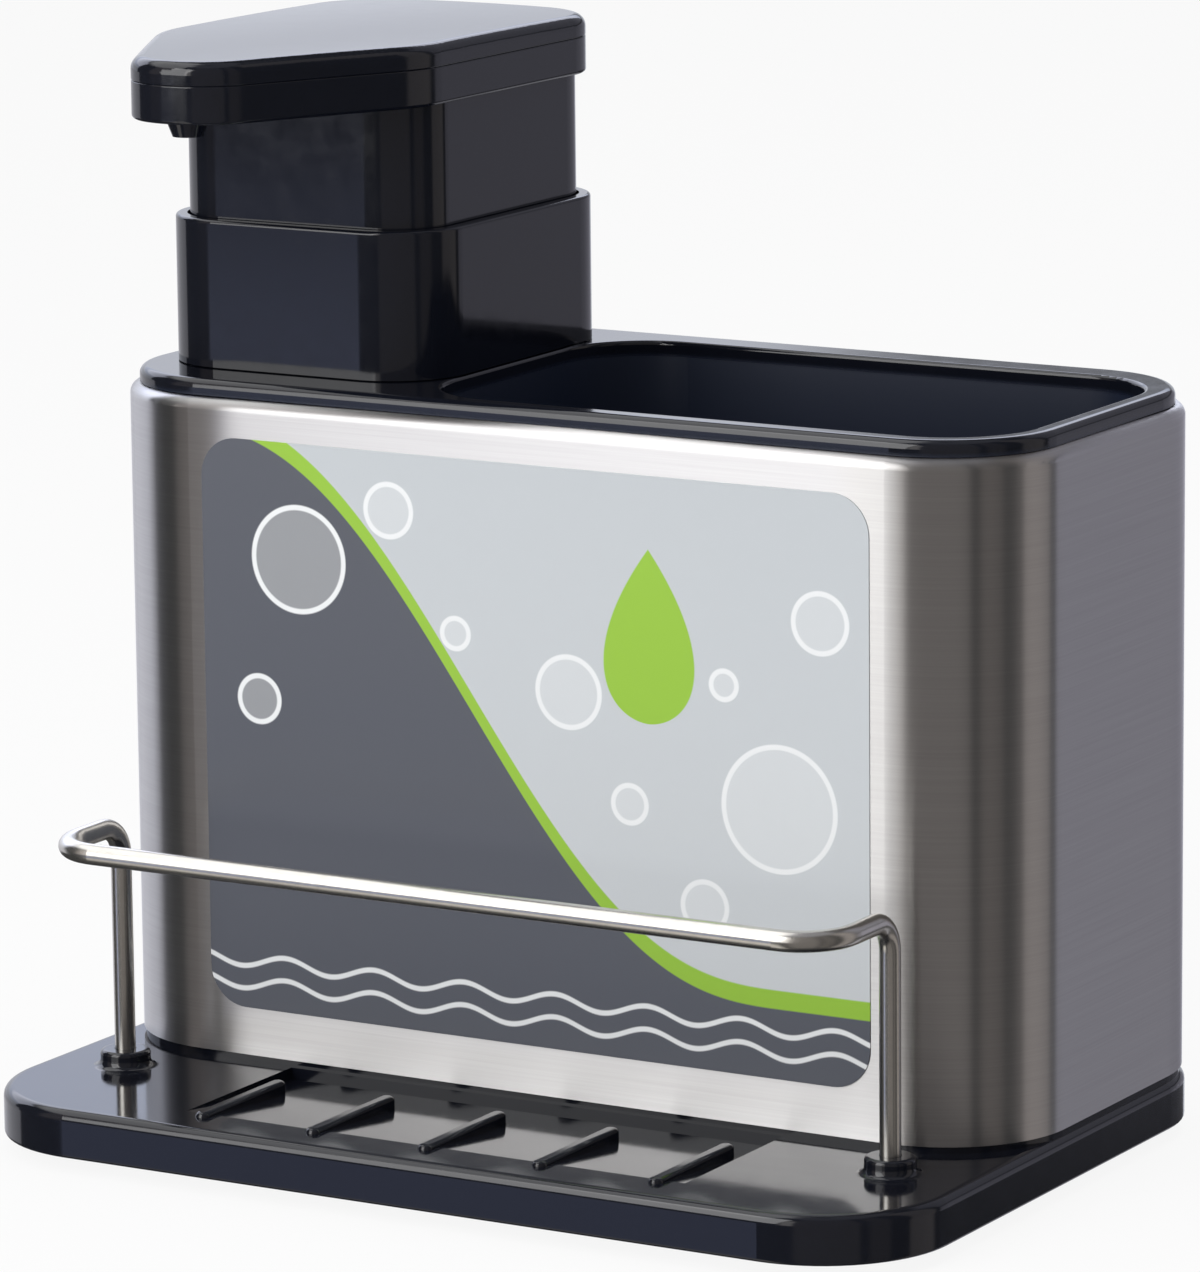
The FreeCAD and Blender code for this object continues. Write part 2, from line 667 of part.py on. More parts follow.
def crown_block():
    """Block under the head's crowned top: highest in the middle, lower by HEAD_CROWN at each edge."""
    left, front, right, back, radius = inset(COLLAR, HEAD_INSET)
    middle = (back + HEAD_TIP_Y) / 2
    across = ((right - left) / 2) ** 2 / (2 * HEAD_CROWN)
    along = (back - middle) ** 2 / (2 * HEAD_CROWN)
    turn = math.asin((back - middle + HEAD_WALL) / along)
    half = (right - left) / 2 + HEAD_WALL
    side = HEIGHT - half ** 2 / (2 * across)
    arc = Part.Arc(Vec(AXIS_X - half, middle, side), Vec(AXIS_X, middle, HEIGHT), Vec(AXIS_X + half, middle, side))
    foot = [Vec(AXIS_X + half, middle, side), Vec(AXIS_X + half, middle, HEAD_BOTTOM),
            Vec(AXIS_X - half, middle, HEAD_BOTTOM), Vec(AXIS_X - half, middle, side)]
    section = Part.Face(Part.Wire([arc.toShape()] + Part.makePolygon(foot).Edges))
    pivot = Vec(AXIS_X, middle, HEIGHT - along)
    section.rotate(pivot, Vec(1, 0, 0), -math.degrees(turn))
    return section.revolve(pivot, Vec(1, 0, 0), 2 * math.degrees(turn))


def head_cover():
    roof = HEIGHT - HEAD_FLOOR
    body = prism(head_corners(0), HEAD_SEAM, HEIGHT + 1).common(crown_block())
    crown = max(body.Faces, key=lambda face: face.CenterOfMass.z)
    body = body.makeFillet(HEAD_TOP_ROUND, crown.Edges)
    body = round_level(body, HEAD_SEAM, HEAD_SEAM_ROUND)
    lip = prism(head_corners(HEAD_WALL + COVER_LIP_GAP), HEAD_SEAM - COVER_LIP_DEPTH, roof)
    hollow = prism(head_corners(HEAD_WALL + COVER_LIP_GAP + COVER_LIP), HEAD_SEAM - COVER_LIP_DEPTH - 1, roof)
    return body.fuse(lip).cut(hollow)


def spout_path():
    plug = HEAD_BOTTOM + SPOUT_PLUG
    points = [Vec(AXIS_X, AXIS_Y, STEM_TOP - SPOUT_DEPTH), Vec(AXIS_X, AXIS_Y, SPOUT_LEVEL),
              Vec(AXIS_X, NOZZLE_Y, SPOUT_LEVEL), Vec(AXIS_X, NOZZLE_Y, plug)]
    return bent_path(points, [SPOUT_BEND, SPOUT_BEND])


def spout_tube():
    return swept(spout_path(), SPOUT_OUTER).cut(swept(spout_path(), SPOUT_INNER))


def nozzle():
    low = HEAD_BOTTOM - NOZZLE_DROP
    floor = HEAD_BOTTOM + HEAD_FLOOR
    top = floor + NOZZLE_FLANGE_HEIGHT
    radius = NOZZLE_OUTER / 2
    tip = Part.makeCone(radius - NOZZLE_TAPER, radius, NOZZLE_DROP, Vec(AXIS_X, NOZZLE_Y, low), UP)
    shank = rod(AXIS_X, NOZZLE_Y, NOZZLE_OUTER, HEAD_BOTTOM, floor)
    flange = rod(AXIS_X, NOZZLE_Y, NOZZLE_FLANGE, floor, top)
    socket = rod(AXIS_X, NOZZLE_Y, SPOUT_OUTER + 2 * SPOUT_GAP, HEAD_BOTTOM + SPOUT_PLUG, top + 1)
    outlet = rod(AXIS_X, NOZZLE_Y, NOZZLE_EXIT, low - 1, floor)
    return tip.fuse([shank, flange]).cut(socket).cut(outlet).removeSplitter()


def all_pieces():
    pieces = {
        "base_tray": base_tray(),
        "steel_sleeve": steel_sleeve(),
        "sleeve_screws": Part.makeCompound([sleeve_screw(x, y) for x, y in lug_places()]),
        "front_label": front_label(),
        "guard_rail": guard_rail(),
        "inner_liner": inner_liner(),
        "soap_bottle": soap_bottle(),
        "bottle_gasket": bottle_gasket(),
        "pump_collar": pump_collar(),
        "cylinder_gasket": cylinder_gasket(),
        "pump_cylinder": pump_cylinder(),
        "cylinder_cap": cylinder_cap(),
        "dip_tube": dip_tube(),
        "inlet_ball": inlet_ball(),
        "outlet_ball": outlet_ball(),
        "pump_stem": pump_stem(),
        "piston": piston(),
        "return_spring": return_spring(),
        "plunger_sleeve": plunger_sleeve(),
        "head_base": head_base(),
        "head_cover": head_cover(),
        "spout_tube": spout_tube(),
        "nozzle": nozzle(),
    }
    for side, x in (("left", -PAD_X), ("right", PAD_X)):
        for end, y in (("front", -PAD_Y), ("rear", PAD_Y)):
            pieces["foot_" + end + "_" + side] = foot_pad(x, y)
    return pieces


os.makedirs("parts", exist_ok=True)
for name, shape in all_pieces().items():
    solids = len(shape.Solids)
    print(name, "solids", solids, "valid", shape.isValid(), "volume", round(shape.Volume, 1))
    shape.exportStep("parts/" + name + ".step")
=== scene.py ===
"""Soap pump caddy: finishes, printed film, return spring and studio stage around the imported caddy, laid
out as an add-on."""

from collections import namedtuple
import math

import bpy
from mathutils import Matrix, Vector


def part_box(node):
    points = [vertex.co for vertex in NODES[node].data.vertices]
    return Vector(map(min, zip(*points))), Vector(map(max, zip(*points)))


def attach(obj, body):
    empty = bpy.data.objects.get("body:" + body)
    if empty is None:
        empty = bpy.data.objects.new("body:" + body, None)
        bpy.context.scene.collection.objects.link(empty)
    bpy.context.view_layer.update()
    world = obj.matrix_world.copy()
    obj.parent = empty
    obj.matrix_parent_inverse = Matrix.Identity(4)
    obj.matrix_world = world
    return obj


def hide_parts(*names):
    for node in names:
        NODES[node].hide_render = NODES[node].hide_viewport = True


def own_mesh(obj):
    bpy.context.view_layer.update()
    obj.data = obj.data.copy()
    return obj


bl_info = {
    "name": "Soap Pump Caddy",
    "version": (1, 0, 0),
    "blender": (4, 5, 0),
    "location": "View3D > Sidebar > Caddy",
    "description": "Finishes a sink caddy with a soap pump, a tool bay and a sponge rail",
    "category": "Object",
}

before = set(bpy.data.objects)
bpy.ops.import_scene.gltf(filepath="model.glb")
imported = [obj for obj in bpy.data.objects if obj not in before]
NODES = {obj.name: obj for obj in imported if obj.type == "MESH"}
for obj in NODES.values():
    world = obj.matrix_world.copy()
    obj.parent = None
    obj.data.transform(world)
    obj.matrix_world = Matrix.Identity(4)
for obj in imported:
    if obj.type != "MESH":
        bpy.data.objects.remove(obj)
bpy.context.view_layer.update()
LABEL_LOW, LABEL_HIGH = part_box("front_label")
LINER_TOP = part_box("inner_liner")[1].z
MM = 0.001
WHITE = (1, 1, 1, 1)

# Kinds of shader node
COORDS = "ShaderNodeTexCoord"
SPLIT = "ShaderNodeSeparateXYZ"
NOISE = "ShaderNodeTexNoise"
RAMP = "ShaderNodeMapRange"
MIX = "ShaderNodeMix"
MATH = "ShaderNodeMath"
VECTOR_MATH = "ShaderNodeVectorMath"
BUMP = "ShaderNodeBump"
LIGHT_PATH = "ShaderNodeLightPath"


def linear(code):
    """Linear colour of an sRGB hex value."""
    parts = [int(code[i:i + 2], 16) / 255 for i in (1, 3, 5)]
    return tuple(p / 12.92 if p <= 0.04045 else ((p + 0.055) / 1.055) ** 2.4 for p in parts)


def colour(title, about, code):
    return bpy.props.FloatVectorProperty(name=title, description=about, subtype="COLOR", size=3, min=0,
                                         max=1, default=linear(code))


def length(title, about, size):
    return bpy.props.FloatProperty(name=title, description=about, subtype="DISTANCE", unit="LENGTH", min=0,
                                   precision=5, default=size)


def degrees(title, about, angle):
    return bpy.props.FloatProperty(name=title, description=about, subtype="ANGLE",
                                   default=math.radians(angle))


def number(title, about, value):
    return bpy.props.FloatProperty(name=title, description=about, min=0, default=value)


class CaddyFinish(bpy.types.PropertyGroup):
    """Colours and surface scales of the caddy's materials"""
    plastic: colour("Plastic", "Black gloss plastic of tray, liner and pump", "#12141c")
    # Inside colour: painted sheen, paler and bluer than the plastic, standing in for light seen inside the
    # bay
    plastic_core_painted_sheen: colour("Plastic, inside", "Satin inside of the tool bay", "#1f2638")
    steel_pale: colour("Steel, pale", "Ridges of the brushed sheet", "#cbcac9")
    steel_deep: colour("Steel, deep", "Grooves of the brushed sheet", "#c3c1c1")
    wire: colour("Wire", "Polished rail wire", "#dad7d1")
    plating: colour("Plating", "Plated screws, balls and spring", "#c4c6c8")
    natural: colour("Pump plastic", "Uncoloured pump pieces", "#e4e6e3")
    bottle: colour("Bottle plastic", "Frosted soap bottle", "#dce2e4")
    seal: colour("Seal rubber", "Gaskets and piston", "#232326")
    pad: colour("Foot rubber", "Foot pads", "#1c1c1d")
    brush_pitch: length("Brush pitch", "Spacing of brush lines, drawn coarser than real to show", 0.0003)
    brush_run: length("Brush run", "Length of one brush line", 0.040)
    bend_start: length("Bend start", "From the middle to where the front starts to turn", 0.062)
    bend_slope: number("Bend slope", "Slope that the front has where the corner begins", 0.1)
    moulding_wave: length("Moulding wave", "Width of the soft waves in a moulded face", 0.030)


class CaddyPrint(bpy.types.PropertyGroup):
    """Colours and sizes of the printed film's generic design"""
    ground: colour("Ground", "Pale ground of the print", "#d5d9dc")
    shade: colour("Ground shade", "Ground at the top of the print", "#c8cdd1")
    slate: colour("Slate", "Dark swell across the print", "#5b5e67")
    leaf: colour("Green", "Green edge and drop", "#9ccb3b")
    foam: colour("Foam", "Bubbles and wave lines", "#f4f6f7")
    edge_width: length("Green edge", "Width of the green edge on the swell", 0.0032)
    drop_height: length("Drop height", "Height of the green drop", 0.030)
    line_width: length("Line width", "Width of bubble outlines and wave lines", 0.0009)
    wave_pitch: length("Wave pitch", "Length of one ripple of the wave lines", 0.018)
    wave_height: length("Wave height", "Rise of the wave lines from their middle", 0.0011)


class CaddySpring(bpy.types.PropertyGroup):
    """Return spring of the pump"""
    wire: length("Spring wire", "Diameter of the spring's wire", 0.0012)
    turns: bpy.props.IntProperty(name="Turns", description="Turns of the coil", min=1, default=8)


class CaddyStage(bpy.types.PropertyGroup):
    """Camera, floor and light"""
    azimuth: degrees("Camera azimuth", "Angle round the caddy, from the front towards the right", 30.2824)
    elevation: degrees("Camera elevation", "Angle above the horizon", 11.2357)
    roll: degrees("Camera roll", "Turn of the picture", -0.5744)
    distance: length("Camera distance", "From the camera to the point that it aims at", 1.2784)
    lens: number("Lens", "Focal length in millimetres on a 36 mm long side", 209.824)
    floor: colour("Floor", "Pale floor", "#f2f2f3")
    fill: number("Fill", "Level of the room's even light", 0.43)


def node(tree, kind, fills=None, **settings):
    """Add one node with its settings, and fill its inputs from plain values or other nodes' outputs."""
    made = tree.nodes.new(kind)
    for name, value in settings.items():
        setattr(made, name, value)
    for name, value in (fills or {}).items():
        if isinstance(value, bpy.types.NodeSocket):
            tree.links.new(value, made.inputs[name])
        else:
            made.inputs[name].default_value = value
    return made


def rgba(values):
    return (*values, 1.0)


def new_material(title):
    """Empty node material with its shader, and the tree to fill."""
    made = bpy.data.materials.new(title)
    made.use_nodes = True
    tree = made.node_tree
    tree.nodes.clear()
    shader = node(tree, "ShaderNodeBsdfPrincipled")
    node(tree, "ShaderNodeOutputMaterial", {"Surface": shader.outputs["BSDF"]})
    return made, tree, shader


def dress(names, material):
    """Give CAD nodes one finish."""
    for name in names:
        slots = NODES[name].data.materials
        slots.clear()
        slots.append(material)


# Most values of a noise lie between these two
NOISE_LOW = 0.3
NOISE_HIGH = 0.7

# Moulded plastic: haze of handling, soft waves, and the satin that a plain core leaves, with a paler,
# bluer colour there that is painted sheen
HAZE_SIZE = 4 * MM
HAZE_DETAIL = 5.0
HAZE_CONTRAST = 0.65
HAZE_HIGH = 0.75
HAZE_PALER = 1.25
WAVE_STRENGTH = 0.1
WAVE_DEPTH = 0.1 * MM
CLEAN_ROUGHNESS = 0.07
HAZED_ROUGHNESS = 0.13
CORE_ROUGHNESS = 0.36
CORE_BLEND = 1 * MM
ABS_IOR = 1.54


def moulded_gloss_abs(finish, title, satin_and_sheen_below=0.0):
    """Moulded ABS from a polished tool: deep black with a cold tint and mirror gloss, faces that wave
    slightly where they shrank, and a faint haze of handling. Below a level it is satin, from the tool's
    plain core, and its colour there is painted paler and bluer: a painted sheen for light seen inside."""
    made, tree, shader = new_material(title)
    place = node(tree, COORDS).outputs["Object"]
    wave = node(tree, NOISE, {"Vector": place, "Scale": 1 / finish.moulding_wave, "Detail": 0.0})
    haze = node(tree, NOISE, {"Vector": place, "Scale": 1 / HAZE_SIZE, "Detail": HAZE_DETAIL,
                              "Roughness": HAZE_CONTRAST}).outputs["Fac"]
    gloss = node(tree, RAMP, {"Value": haze, "From Min": NOISE_LOW, "From Max": HAZE_HIGH,
                              "To Min": CLEAN_ROUGHNESS, "To Max": HAZED_ROUGHNESS}).outputs["Result"]
    paler = [HAZE_PALER * c for c in finish.plastic]
    tint = node(tree, MIX, {"Factor": haze, "A": rgba(finish.plastic), "B": rgba(paler)},
                data_type="RGBA").outputs["Result"]
    # Below the level: satin roughness from the core, and a painted sheen colour
    if satin_and_sheen_below > 0:
        height = node(tree, SPLIT, {"Vector": place}).outputs["Z"]
        satin_and_sheen_mask = node(tree, RAMP, {"Value": height, "From Min": satin_and_sheen_below + CORE_BLEND,
                                 "From Max": satin_and_sheen_below}).outputs["Result"]
        gloss = node(tree, MIX, {"Factor": satin_and_sheen_mask, "A": gloss, "B": CORE_ROUGHNESS}).outputs["Result"]
        # Painted sheen: the inside is tinted paler and bluer than the plastic
        tint = node(tree, MIX, {"Factor": satin_and_sheen_mask, "A": tint, "B": rgba(finish.plastic_core_painted_sheen)},
                    data_type="RGBA").outputs["Result"]
    bump = node(tree, BUMP, {"Height": wave.outputs["Fac"], "Strength": WAVE_STRENGTH,
                             "Distance": WAVE_DEPTH})
    tree.links.new(tint, shader.inputs["Base Color"])
    tree.links.new(gloss, shader.inputs["Roughness"])
    tree.links.new(bump.outputs["Normal"], shader.inputs["Normal"])
    shader.inputs["IOR"].default_value = ABS_IOR
    return made


# Brushed sheet: fine lines with a share of coarser ones, and a smear at right angles to them
FINE_DETAIL = 2.0
COARSE_DETAIL = 3.0
COARSE_TIMES = 6
COARSE_SHARE = 0.2
GROOVE_ROUGHNESS = 0.337
RIDGE_ROUGHNESS = 0.33
SMEAR = 1.0
SMEAR_TURN = 0.25
BEND_BLEND = 7 * MM


def brushed_stainless(finish):
    """Stainless sheet brushed level round the box: fine grooves that smear reflections up and down. The
    flats start to turn a little before the corners, as bent sheet does."""
    made, tree, shader = new_material("brushed_stainless")
    place = node(tree, COORDS).outputs["Object"]
    along = 1 / finish.brush_run
    lines = []
    for pitch, detail in ((finish.brush_pitch, FINE_DETAIL),
                          (COARSE_TIMES * finish.brush_pitch, COARSE_DETAIL)):
        stretch = node(tree, "ShaderNodeMapping", {"Vector": place, "Scale": (along, along, 1 / pitch)})
        lines.append(node(tree, NOISE, {"Vector": stretch.outputs["Vector"], "Scale": 1.0,
                                        "Detail": detail}).outputs["Fac"])
    both = node(tree, MIX, {"Factor": COARSE_SHARE, "A": lines[0], "B": lines[1]}).outputs["Result"]
    depth = node(tree, RAMP, {"Value": both, "From Min": NOISE_LOW,
                              "From Max": NOISE_HIGH}).outputs["Result"]
    tone = node(tree, MIX, {"Factor": depth, "A": rgba(finish.steel_deep), "B": rgba(finish.steel_pale)},
                data_type="RGBA")
    gloss = node(tree, RAMP, {"Value": depth, "To Min": GROOVE_ROUGHNESS, "To Max": RIDGE_ROUGHNESS})

    across = node(tree, SPLIT, {"Vector": place}).outputs["X"]
    across = node(tree, MATH, {0: across}, operation="ABSOLUTE").outputs[0]
    slope = finish.bend_slope
    fall = node(tree, MATH, {0: across, 1: -slope, 2: slope * finish.bend_start},
                operation="MULTIPLY_ADD").outputs[0]
    bend = node(tree, MATH, {0: fall, 1: 0.0, 2: slope * BEND_BLEND}, operation="SMOOTH_MIN").outputs[0]
    bump = node(tree, BUMP, {"Height": bend, "Strength": 1.0, "Distance": 1.0})
    round_box = node(tree, "ShaderNodeTangent", direction_type="RADIAL", axis="Z")
    tree.links.new(tone.outputs["Result"], shader.inputs["Base Color"])
    tree.links.new(gloss.outputs["Result"], shader.inputs["Roughness"])
    tree.links.new(bump.outputs["Normal"], shader.inputs["Normal"])
    tree.links.new(round_box.outputs["Tangent"], shader.inputs["Tangent"])
    shader.inputs["Metallic"].default_value = 1.0
    shader.inputs["Anisotropic"].default_value = SMEAR
    shader.inputs["Anisotropic Rotation"].default_value = SMEAR_TURN
    return made


# Polished metal: haze of the polish, and roughness from clean to hazed
POLISH_SIZE = 2.5 * MM
POLISH_DETAIL = 4.0
POLISH_DEEPER = 0.86
WIRE_ROUGHNESS = (0.24, 0.27)
PLATING_ROUGHNESS = (0.2, 0.32)


def polished_metal(title, tone, rough_low, rough_high):
    """Bright metal with a trace of polishing haze."""
    made, tree, shader = new_material(title)
    place = node(tree, COORDS).outputs["Object"]
    haze = node(tree, NOISE, {"Vector": place, "Scale": 1 / POLISH_SIZE,
                              "Detail": POLISH_DETAIL}).outputs["Fac"]
    gloss = node(tree, RAMP, {"Value": haze, "From Min": NOISE_LOW, "From Max": NOISE_HIGH,
                              "To Min": rough_low, "To Max": rough_high})
    deeper = [POLISH_DEEPER * c for c in tone]
    shade = node(tree, MIX, {"Factor": haze, "A": rgba(tone), "B": rgba(deeper)}, data_type="RGBA")
    tree.links.new(shade.outputs["Result"], shader.inputs["Base Color"])
    tree.links.new(gloss.outputs["Result"], shader.inputs["Roughness"])
    shader.inputs["Metallic"].default_value = 1.0
    return made


# Plain polymers: colour, roughness, grain, how much light enters, and the pieces made of them
Polymer = namedtuple("Polymer", "tone rough grain glow pieces")
POLYMERS = {
    "frosted_polyethylene": Polymer("bottle", 0.38, 1.5 * MM, 0.35, ["soap_bottle"]),
    "natural_polypropylene": Polymer("natural", 0.34, 1.2 * MM, 0.3, [
        "pump_cylinder", "cylinder_cap", "dip_tube", "pump_stem", "spout_tube"]),
    "seal_nitrile": Polymer("seal", 0.55, 0.8 * MM, 0.0, ["bottle_gasket", "cylinder_gasket", "piston"]),
    "foot_pad_rubber": Polymer("pad", 0.7, 0.6 * MM, 0.0, [
        "foot_front_left", "foot_rear_left", "foot_front_right", "foot_rear_right"]),
}
SKIN_DETAIL = 4.0
SKIN_SMOOTHER = 0.06
SKIN_ROUGHER = 0.08
SKIN_DEEPER = 0.88
SKIN_STRENGTH = 0.15
SKIN_DEPTH = 0.05 * MM
GLOW_REACH = 2 * MM


def satin_polymer(title, tone, rough, grain, glow):
    """Plain moulded polymer or rubber: a satin skin with fine grain; glow lets light into pale ones."""
    made, tree, shader = new_material(title)
    place = node(tree, COORDS).outputs["Object"]
    skin = node(tree, NOISE, {"Vector": place, "Scale": 1 / grain, "Detail": SKIN_DETAIL}).outputs["Fac"]
    gloss = node(tree, RAMP, {"Value": skin, "From Min": NOISE_LOW, "From Max": NOISE_HIGH,
                              "To Min": rough - SKIN_SMOOTHER, "To Max": rough + SKIN_ROUGHER})
    deeper = [SKIN_DEEPER * c for c in tone]
    shade = node(tree, MIX, {"Factor": skin, "A": rgba(tone), "B": rgba(deeper)}, data_type="RGBA")
    bump = node(tree, BUMP, {"Height": skin, "Strength": SKIN_STRENGTH, "Distance": SKIN_DEPTH})
    tree.links.new(shade.outputs["Result"], shader.inputs["Base Color"])
    tree.links.new(gloss.outputs["Result"], shader.inputs["Roughness"])
    tree.links.new(bump.outputs["Normal"], shader.inputs["Normal"])
    shader.inputs["Subsurface Weight"].default_value = glow
    shader.inputs["Subsurface Scale"].default_value = GLOW_REACH
    return made


# Layout of the print, in shares of the half width from the middle and of the height from the foot
SWELL_LEFT = -1.1
SWELL_RIGHT = 0.75
SWELL_TOP = 1.02
SWELL_FOOT = 0.12
DROP_ACROSS = 0.36
DROP_UP = 0.58
WAVE_LEVELS = (0.045, 0.085)

# Girth of the drop to its height, how far its edge is drawn in, and the soft edge of all ink
DROP_GIRTH = 0.78
DROP_MARGIN = 0.3 * MM
PRINT_EDGE = 0.12 * MM

# Bubbles of the print: place across, place up and radius in millimetres, and how much their inside covers
BUBBLES = ((-0.70, 0.80, 9.0), (-0.42, 0.90, 4.5), (-0.83, 0.55, 4.0), (0.12, 0.62, 6.0),
           (0.30, 0.44, 3.2), (0.74, 0.46, 10.5), (0.52, 0.28, 4.2), (0.86, 0.78, 5.0),
           (-0.22, 0.70, 2.6), (0.58, 0.66, 2.4))
BUBBLE_COVER = 0.28

# Film that carries the print
FILM_GRAIN = 0.8 * MM
FILM_DETAIL = 2.0
FILM_ROUGHNESS = (0.28, 0.38)
FILM_IOR = 1.5


def printed_film(design):
    """Glossy printed film: a pale ground, a slate swell with a green edge, a green drop, bubbles and
    waves. Each layer is a distance that is negative inside its motif, a colour and how much it covers."""
    made, tree, shader = new_material("printed_film")
    place = node(tree, COORDS).outputs["Object"]
    split = node(tree, SPLIT, {"Vector": place}).outputs
    middle = (LABEL_LOW + LABEL_HIGH) / 2
    half_wide = (LABEL_HIGH.x - LABEL_LOW.x) / 2
    tall = LABEL_HIGH.z - LABEL_LOW.z
    layers = []

    swell = node(tree, RAMP, {"Value": split["X"], "From Min": SWELL_LEFT * half_wide,
                              "From Max": SWELL_RIGHT * half_wide,
                              "To Min": LABEL_LOW.z + SWELL_TOP * tall,
                              "To Max": LABEL_LOW.z + SWELL_FOOT * tall},
                 interpolation_type="SMOOTHERSTEP").outputs["Result"]
    above = node(tree, MATH, {0: split["Z"], 1: swell}, operation="SUBTRACT").outputs[0]
    edge = node(tree, MATH, {0: above, 1: design.edge_width}, operation="SUBTRACT").outputs[0]
    layers += [(edge, design.leaf, 1.0), (above, design.slate, 1.0)]

    drop_foot = LABEL_LOW.z + DROP_UP * tall
    drop_x = middle.x + DROP_ACROSS * half_wide
    along = node(tree, RAMP, {"Value": split["Z"], "From Min": drop_foot,
                              "From Max": drop_foot + design.drop_height}).outputs["Result"]
    belly = node(tree, MATH, {0: along}, operation="SQRT").outputs[0]
    taper = node(tree, MATH, {0: 1.0, 1: along}, operation="SUBTRACT").outputs[0]
    girth = node(tree, MATH, {0: belly, 1: taper}, operation="MULTIPLY").outputs[0]
    girth = node(tree, MATH, {0: girth, 1: DROP_GIRTH * design.drop_height, 2: -DROP_MARGIN},
                 operation="MULTIPLY_ADD").outputs[0]
    off_axis = node(tree, MATH, {0: split["X"], 1: drop_x}, operation="SUBTRACT").outputs[0]
    off_axis = node(tree, MATH, {0: off_axis}, operation="ABSOLUTE").outputs[0]
    drop = node(tree, MATH, {0: off_axis, 1: girth}, operation="SUBTRACT").outputs[0]
    layers.append((drop, design.leaf, 1.0))

    half_line = design.line_width / 2
    for across, up, radius in BUBBLES:
        centre = (middle.x + across * half_wide, LABEL_LOW.y, LABEL_LOW.z + up * tall)
        reach = node(tree, VECTOR_MATH, {0: place, 1: centre}, operation="DISTANCE").outputs["Value"]
        body = node(tree, MATH, {0: reach, 1: radius * MM}, operation="SUBTRACT").outputs[0]
        ring = node(tree, MATH, {0: body}, operation="ABSOLUTE").outputs[0]
        ring = node(tree, MATH, {0: ring, 1: half_line}, operation="SUBTRACT").outputs[0]
        layers += [(body, design.foam, BUBBLE_COVER), (ring, design.foam, 1.0)]

    turn = node(tree, MATH, {0: split["X"], 1: 2 * math.pi / design.wave_pitch},
                operation="MULTIPLY").outputs[0]
    ripple = node(tree, MATH, {0: turn}, operation="SINE").outputs[0]
    ripple = node(tree, MATH, {0: ripple, 1: -design.wave_height, 2: split["Z"]},
                  operation="MULTIPLY_ADD").outputs[0]
    for level in WAVE_LEVELS:
        gap = node(tree, MATH, {0: ripple, 1: LABEL_LOW.z + level * tall}, operation="SUBTRACT").outputs[0]
        gap = node(tree, MATH, {0: gap}, operation="ABSOLUTE").outputs[0]
        line = node(tree, MATH, {0: gap, 1: half_line}, operation="SUBTRACT").outputs[0]
        layers.append((line, design.foam, 1.0))

    rise = node(tree, RAMP, {"Value": split["Z"], "From Min": LABEL_LOW.z,
                             "From Max": LABEL_HIGH.z}).outputs["Result"]
    tone = node(tree, MIX, {"Factor": rise, "A": rgba(design.ground), "B": rgba(design.shade)},
                data_type="RGBA").outputs["Result"]
    for distance, ink, share in layers:
        cover = node(tree, RAMP, {"Value": distance, "From Min": PRINT_EDGE, "From Max": -PRINT_EDGE,
                                  "To Max": share}).outputs["Result"]
        tone = node(tree, MIX, {"Factor": cover, "A": tone, "B": rgba(ink)},
                    data_type="RGBA").outputs["Result"]

    grain = node(tree, NOISE, {"Vector": place, "Scale": 1 / FILM_GRAIN, "Detail": FILM_DETAIL})
    smooth, rough = FILM_ROUGHNESS
    gloss = node(tree, RAMP, {"Value": grain.outputs["Fac"], "To Min": smooth, "To Max": rough})
    tree.links.new(tone, shader.inputs["Base Color"])
    tree.links.new(gloss.outputs["Result"], shader.inputs["Roughness"])
    shader.inputs["IOR"].default_value = FILM_IOR
    return made


# Height of the liner's polished lip, below which it is satin and painted paler as painted sheen
LIP_GLOSS = 3 * MM


class CADDY_OT_plastic_body(bpy.types.Operator):
    """Finish the moulded black pieces: base tray, liner, pump body and pump head"""
    bl_idname = "caddy.plastic_body"
    bl_label = "Black moulded pieces"

    def execute(self, context):
        finish = context.scene.caddy_finish
        names = ("base_tray", "pump_collar", "plunger_sleeve", "head_base", "head_cover", "nozzle")
        dress(names, moulded_gloss_abs(finish, "moulded_gloss_abs"))
        # The liner below its lip is satin, with a painted sheen colour
        dress(["inner_liner"], moulded_gloss_abs(finish, "moulded_liner_abs", LINER_TOP - LIP_GLOSS))
        return {"FINISHED"}


class CADDY_OT_steel_sleeve(bpy.types.Operator):
    """Finish the brushed steel box"""
    bl_idname = "caddy.steel_sleeve"
    bl_label = "Steel sleeve"

    def execute(self, context):
        dress(["steel_sleeve"], brushed_stainless(context.scene.caddy_finish))
        return {"FINISHED"}


class CADDY_OT_front_label(bpy.types.Operator):
    """Finish the printed film on the front"""
    bl_idname = "caddy.front_label"
    bl_label = "Front label"

    def execute(self, context):
        dress(["front_label"], printed_film(context.scene.caddy_print))
        return {"FINISHED"}


class CADDY_OT_metal_pieces(bpy.types.Operator):
    """Finish the wire rail and the plated small metal"""
    bl_idname = "caddy.metal_pieces"
    bl_label = "Rail and small metal"

    def execute(self, context):
        finish = context.scene.caddy_finish
        dress(["guard_rail"], polished_metal("polished_stainless_wire", finish.wire, *WIRE_ROUGHNESS))
        dress(["sleeve_screws", "inlet_ball", "outlet_ball"],
              polished_metal("zinc_plated_steel", finish.plating, *PLATING_ROUGHNESS))
        return {"FINISHED"}


# Corners of the spring wire's section, steps in a turn, and the angle past which an edge stays sharp
COIL_SIDES = 14
COIL_STEPS = 36
COIL_SHARP = math.radians(50)


